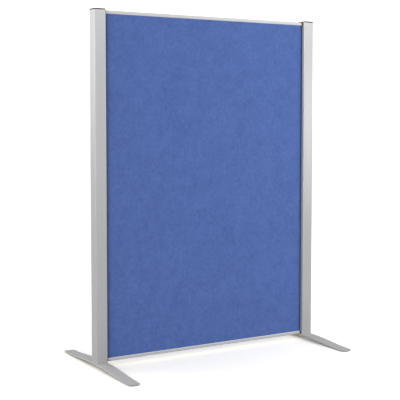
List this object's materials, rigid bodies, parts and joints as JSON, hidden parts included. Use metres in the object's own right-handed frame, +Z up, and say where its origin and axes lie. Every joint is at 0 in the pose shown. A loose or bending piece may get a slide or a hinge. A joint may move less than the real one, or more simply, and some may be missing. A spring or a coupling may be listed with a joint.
{
  "type": "upholstered room divider",
  "caption": "Free-standing office screen: thin fabric-covered panel between square metal posts on arched feet that swivel under the posts.",
  "frame": {"origin": "on the floor, in the middle of the footprint, midway between the two posts", "axes": "+X along the panel from the left post to the right post as seen from the front, +Y to the rear, +Z up"},
  "size_m": [1.203, 0.7, 1.6],
  "materials": {
    "anodised_aluminium": "satin anodised, fine lengthwise extrusion lines",
    "foot_paint": "silver-grey powder coat, fine texture",
    "black_plastic": "moulded, satin",
    "seal": "matt black extruded profile",
    "zinc_plated_steel": "bright zinc plate",
    "softwood": "planed, unfinished",
    "hardboard": "smooth pressed board",
    "acoustic_core": "light fibre infill",
    "foam": "thin foam sheet",
    "blue_fabric": "dense felted wool-look weave, matt",
    "rubber_pad": "matt"
  },
  "bodies": {
    "screen": {"left_post": "anodised_aluminium", "right_post": "anodised_aluminium", "left_post_cap": "black_plastic", "right_post_cap": "black_plastic", "left_post_insert": "zinc_plated_steel", "right_post_insert": "zinc_plated_steel", "left_foot_bolt": "zinc_plated_steel", "right_foot_bolt": "zinc_plated_steel", "left_foot_washer": "zinc_plated_steel", "right_foot_washer": "zinc_plated_steel", "top_rail": "anodised_aluminium", "bottom_rail": "anodised_aluminium", "top_left_connector": "black_plastic", "top_right_connector": "black_plastic", "bottom_left_connector": "black_plastic", "bottom_right_connector": "black_plastic", "rail_screws": "zinc_plated_steel", "left_stile": "softwood", "right_stile": "softwood", "bottom_batten": "softwood", "middle_batten": "softwood", "top_batten": "softwood", "frame_screws": "zinc_plated_steel", "lower_core": "acoustic_core", "upper_core": "acoustic_core", "front_board": "hardboard", "rear_board": "hardboard", "front_foam": "foam", "rear_foam": "foam", "front_fabric": "blue_fabric", "rear_fabric": "blue_fabric", "left_seal": "seal", "right_seal": "seal"},
    "left_foot": {"left_foot": "foot_paint", "left_foot_pads": "rubber_pad"},
    "right_foot": {"right_foot": "foot_paint", "right_foot_pads": "rubber_pad"}
  },
  "joints": [
    {"name": "left_foot_swivel", "type": "hinge", "parent": "screen", "child": "left_foot", "pos_m": [-0.5725, 0, 0.0235], "axis": [0, 0, 1], "range_deg": [-90, 90]},
    {"name": "right_foot_swivel", "type": "hinge", "parent": "screen", "child": "right_foot", "pos_m": [0.5725, 0, 0.0235], "axis": [0, 0, 1], "range_deg": [-90, 90]}
  ]
}
